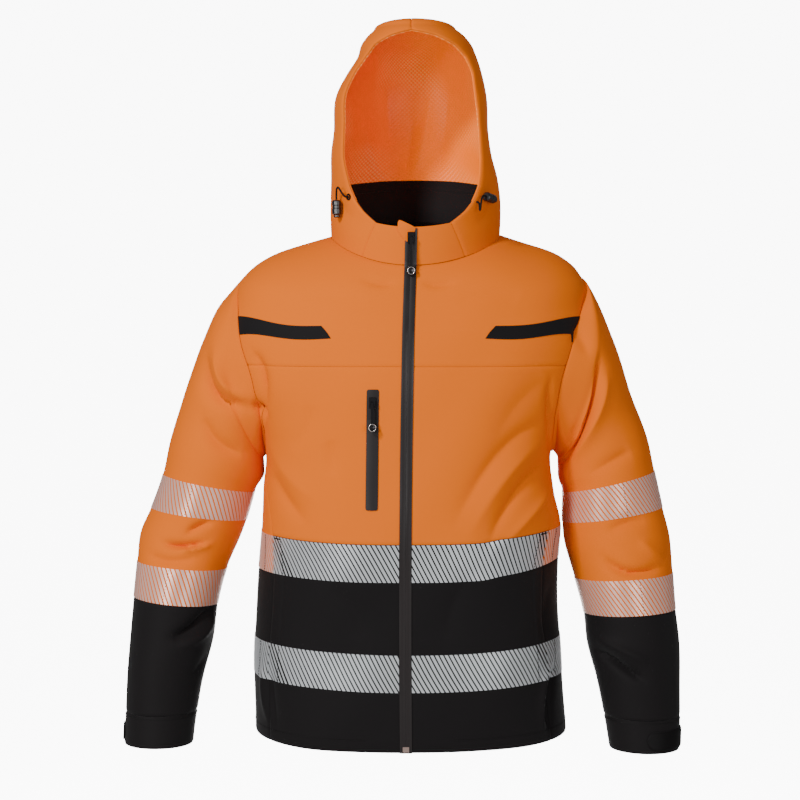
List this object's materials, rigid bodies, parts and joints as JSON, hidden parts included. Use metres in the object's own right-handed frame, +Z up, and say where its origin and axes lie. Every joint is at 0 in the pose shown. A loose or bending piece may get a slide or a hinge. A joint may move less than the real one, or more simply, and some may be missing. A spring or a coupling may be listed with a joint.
{
  "type": "hi-vis work jacket",
  "caption": "Hi-vis softshell work jacket, worn and hollow: orange over black, silver reflective tape, front zip, hood up, chest pocket and hand pockets.",
  "frame": {"origin": "middle of the neck's base, where the jacket is carried by its wearer's shoulders", "axes": "+Z up, -Y out of the front, +X to the wearer's left"},
  "size_m": [0.7588, 0.3061, 0.9853],
  "materials": {
    "orange_softshell": "matte",
    "black_softshell": "matte",
    "reflective_tape": "satin",
    "laminated_film": "satin",
    "dark_metal": "satin",
    "cord": "matte"
  },
  "bodies": {
    "jacket": {"back_panel": "orange_softshell", "back_skirt": "black_softshell", "back_yoke": "orange_softshell", "chin_guard": "orange_softshell", "collar_front_left": "orange_softshell", "collar_front_right": "orange_softshell", "collar_lining": "black_softshell", "cord_lock_left": "dark_metal", "cord_lock_right": "dark_metal", "cuff_left": "black_softshell", "cuff_right": "black_softshell", "cuff_tab_left": "black_softshell", "cuff_tab_right": "black_softshell", "elbow_band_left": "reflective_tape", "elbow_band_right": "reflective_tape", "eyelet_left": "dark_metal", "eyelet_right": "dark_metal", "flash_left": "black_softshell", "flash_right": "black_softshell", "forearm_left": "black_softshell", "forearm_right": "black_softshell", "front_chest_left": "orange_softshell", "front_chest_right": "orange_softshell", "front_skirt_left": "black_softshell", "front_skirt_right": "black_softshell", "front_yoke_left": "orange_softshell", "front_yoke_right": "orange_softshell", "hem_band_back": "reflective_tape", "hem_band_front_left": "reflective_tape", "hem_band_front_right": "reflective_tape", "hood_cord_left": "cord", "hood_cord_right": "cord", "hood_left": "orange_softshell", "hood_lining": "orange_softshell", "hood_right": "orange_softshell", "lock_plunger_left": "dark_metal", "lock_plunger_right": "dark_metal", "pocket_film": "laminated_film", "pocket_slider": "dark_metal", "pocket_welt_left": "black_softshell", "pocket_welt_right": "black_softshell", "sleeve_left": "orange_softshell", "sleeve_right": "orange_softshell", "waist_band_back": "reflective_tape", "waist_band_front_left": "reflective_tape", "waist_band_front_right": "reflective_tape", "wrist_band_left": "reflective_tape", "wrist_band_right": "reflective_tape", "zip_slider": "dark_metal", "zip_stop": "dark_metal", "zip_tape_left": "laminated_film", "zip_tape_right": "laminated_film"},
    "front_pull": {"zip_pull": "dark_metal"},
    "chest_pull": {"pocket_pull": "dark_metal"}
  },
  "joints": [
    {"name": "front_pull_swing", "type": "hinge", "parent": "jacket", "child": "front_pull", "pos_m": [0.00365, -0.1138, -0.00648], "axis": [-1, 0, 0], "range_deg": [0, 150]},
    {"name": "chest_pull_swing", "type": "hinge", "parent": "jacket", "child": "chest_pull", "pos_m": [-0.04695, -0.15044, -0.22173], "axis": [-1, 0, 0], "range_deg": [0, 150]}
  ]
}
